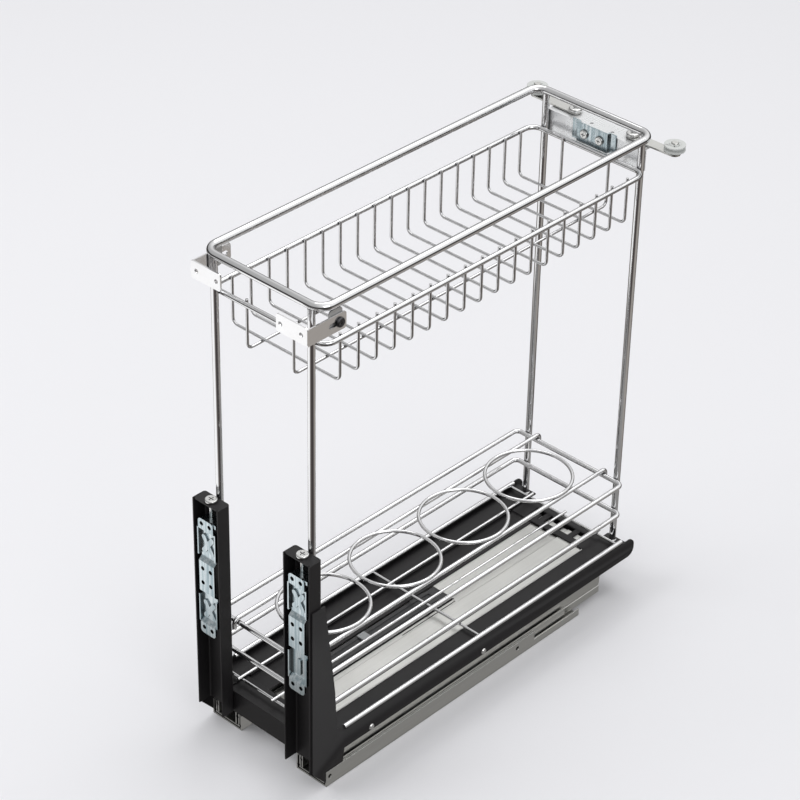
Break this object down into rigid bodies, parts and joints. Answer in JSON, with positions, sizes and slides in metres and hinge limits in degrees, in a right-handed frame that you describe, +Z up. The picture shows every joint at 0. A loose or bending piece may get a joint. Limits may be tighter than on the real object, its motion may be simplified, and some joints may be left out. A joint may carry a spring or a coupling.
{
  "type": "pull out cabinet basket",
  "caption": "Narrow chromed wire pull-out with an upper basket and a ringed bottle basket, on flat ball-bearing slides with door brackets and an anti-tip roller guide",
  "frame": {"origin": "on the cabinet floor under the middle of the whole part's box, at the bottom edges of the cabinet rails", "axes": "+X width, the right side seen from the door; -Y towards the door; +Z up"},
  "size_m": [0.193, 0.491, 0.533],
  "materials": {
    "chrome_wire": "bright polished chrome on round steel wire",
    "chrome_plate": "bright chrome on folded sheet steel",
    "zinc": "blue-white zinc plate",
    "galvanised": "galvanised sheet, satin",
    "cage_steel": "plain pressed steel",
    "ball_steel": "polished bearing steel",
    "black_steel": "black powder coat",
    "black_plastic": "black moulded plastic",
    "grey_plastic": "grey moulded plastic",
    "dark_screw": "dark phosphated steel",
    "roller_plastic": "pale nylon"
  },
  "bodies": {
    "cabinet_side": {"cabinet_rail_left": "galvanised", "cabinet_rail_right": "galvanised", "catch_bridge": "galvanised"},
    "carriage": {"drawer_rail_left": "galvanised", "drawer_rail_right": "galvanised", "side_panel_left": "black_steel", "side_panel_right": "black_steel", "front_cross_plate": "black_steel", "rear_cross_plate": "black_steel", "floor_pan": "black_steel", "floor_sheet": "galvanised", "panel_rivets": "zinc", "damper_housing": "black_plastic", "damper_cap": "grey_plastic", "channel_left": "black_steel", "channel_right": "black_steel", "channel_caps": "black_steel", "post_front_left": "chrome_wire", "post_front_right": "chrome_wire", "post_rear_left": "chrome_wire", "post_rear_right": "chrome_wire", "top_rail": "chrome_wire", "upper_rim": "chrome_wire", "upper_bent_wires": "chrome_wire", "upper_long_wires": "chrome_wire", "lower_loop_top": "chrome_wire", "lower_loop_bottom": "chrome_wire", "floor_side_rails": "chrome_wire", "floor_long_wires": "chrome_wire", "floor_cross_wires": "chrome_wire", "hook_tab_left": "galvanised", "hook_tab_right": "galvanised", "hook_screws": "dark_screw", "guide_plate": "galvanised", "guide_box": "zinc", "guide_box_screws": "zinc", "arm_screws": "zinc"},
    "bottle_insert": {"insert_side_wires": "chrome_wire", "insert_rings": "chrome_wire"},
    "catch": {"damper_catch": "grey_plastic"},
    "middle_left": {"middle_rail_left": "galvanised"},
    "outer_bearing_left": {"outer_cage_left": "cage_steel", "outer_balls_left": "ball_steel"},
    "inner_bearing_left": {"inner_cage_left": "cage_steel", "inner_balls_left": "ball_steel"},
    "hook_left": {"door_hook_left": "chrome_plate"},
    "bracket_left": {"door_bracket_left": "zinc"},
    "screw_left": {"adjust_screw_left": "zinc"},
    "arm_left": {"roller_arm_left": "galvanised"},
    "wheel_left": {"roller_left": "roller_plastic"},
    "middle_right": {"middle_rail_right": "galvanised"},
    "outer_bearing_right": {"outer_cage_right": "cage_steel", "outer_balls_right": "ball_steel"},
    "inner_bearing_right": {"inner_cage_right": "cage_steel", "inner_balls_right": "ball_steel"},
    "hook_right": {"door_hook_right": "chrome_plate"},
    "bracket_right": {"door_bracket_right": "zinc"},
    "screw_right": {"adjust_screw_right": "zinc"},
    "arm_right": {"roller_arm_right": "galvanised"},
    "wheel_right": {"roller_right": "roller_plastic"}
  },
  "joints": [
    {"name": "carriage_slide", "type": "slide", "parent": "cabinet_side", "child": "carriage", "axis": [0, -1, 0], "range_m": [0, 0.36]},
    {"name": "middle_slide_left", "type": "slide", "parent": "cabinet_side", "child": "middle_left", "axis": [0, -1, 0], "range_m": [0, 0.18]},
    {"name": "outer_bearing_slide_left", "type": "slide", "parent": "cabinet_side", "child": "outer_bearing_left", "axis": [0, -1, 0], "range_m": [0, 0.09]},
    {"name": "inner_bearing_slide_left", "type": "slide", "parent": "cabinet_side", "child": "inner_bearing_left", "axis": [0, -1, 0], "range_m": [0, 0.27]},
    {"name": "middle_slide_right", "type": "slide", "parent": "cabinet_side", "child": "middle_right", "axis": [0, -1, 0], "range_m": [0, 0.18]},
    {"name": "outer_bearing_slide_right", "type": "slide", "parent": "cabinet_side", "child": "outer_bearing_right", "axis": [0, -1, 0], "range_m": [0, 0.09]},
    {"name": "inner_bearing_slide_right", "type": "slide", "parent": "cabinet_side", "child": "inner_bearing_right", "axis": [0, -1, 0], "range_m": [0, 0.27]},
    {"name": "insert_lift", "type": "slide", "parent": "carriage", "child": "bottle_insert", "axis": [0, 0, 1], "range_m": [0, 0.15]},
    {"name": "catch_stroke", "type": "slide", "parent": "carriage", "child": "catch", "axis": [0, 1, 0], "range_m": [0, 0.04], "stiffness_N_per_m": 60},
    {"name": "hook_adjust_left", "type": "slide", "parent": "carriage", "child": "hook_left", "axis": [0, 1, 0], "range_m": [-0.0105, 0.0015]},
    {"name": "bracket_height_left", "type": "slide", "parent": "carriage", "child": "bracket_left", "axis": [0, 0, 1], "range_m": [-0.007, 0.007]},
    {"name": "screw_turn_left", "type": "hinge", "parent": "carriage", "child": "screw_left", "pos_m": [-0.0595, -0.2355, 0.262], "axis": [0, 0, 1], "range_deg": [-3610, 3610]},
    {"name": "hook_adjust_right", "type": "slide", "parent": "carriage", "child": "hook_right", "axis": [0, 1, 0], "range_m": [-0.0015, 0.0105]},
    {"name": "bracket_height_right", "type": "slide", "parent": "carriage", "child": "bracket_right", "axis": [0, 0, 1], "range_m": [-0.007, 0.007]},
    {"name": "screw_turn_right", "type": "hinge", "parent": "carriage", "child": "screw_right", "pos_m": [0.0595, -0.2355, 0.262], "axis": [0, 0, 1], "range_deg": [-3610, 3610]},
    {"name": "arm_swing_left", "type": "hinge", "parent": "carriage", "child": "arm_left", "pos_m": [-0.036, 0.234, 0.5093], "axis": [0, 0, -1], "range_deg": [-5, 50]},
    {"name": "roller_spin_left", "type": "hinge", "parent": "arm_left", "child": "wheel_left", "pos_m": [-0.08599, 0.235, 0.516], "axis": [0, 0, 1], "continuous": true},
    {"name": "arm_swing_right", "type": "hinge", "parent": "carriage", "child": "arm_right", "pos_m": [0.036, 0.234, 0.5093], "axis": [0, 0, 1], "range_deg": [-5, 50]},
    {"name": "roller_spin_right", "type": "hinge", "parent": "arm_right", "child": "wheel_right", "pos_m": [0.08599, 0.235, 0.516], "axis": [0, 0, 1], "continuous": true}
  ],
  "couplings": [
    {"joint": "middle_slide_left", "follows": "carriage_slide", "ratio": 0.5},
    {"joint": "outer_bearing_slide_left", "follows": "carriage_slide", "ratio": 0.25},
    {"joint": "inner_bearing_slide_left", "follows": "carriage_slide", "ratio": 0.75},
    {"joint": "middle_slide_right", "follows": "carriage_slide", "ratio": 0.5},
    {"joint": "outer_bearing_slide_right", "follows": "carriage_slide", "ratio": 0.25},
    {"joint": "inner_bearing_slide_right", "follows": "carriage_slide", "ratio": 0.75},
    {"joint": "screw_turn_left", "follows": "bracket_height_left", "rad_per_m": -8976},
    {"joint": "screw_turn_right", "follows": "bracket_height_right", "rad_per_m": -8976}
  ]
}
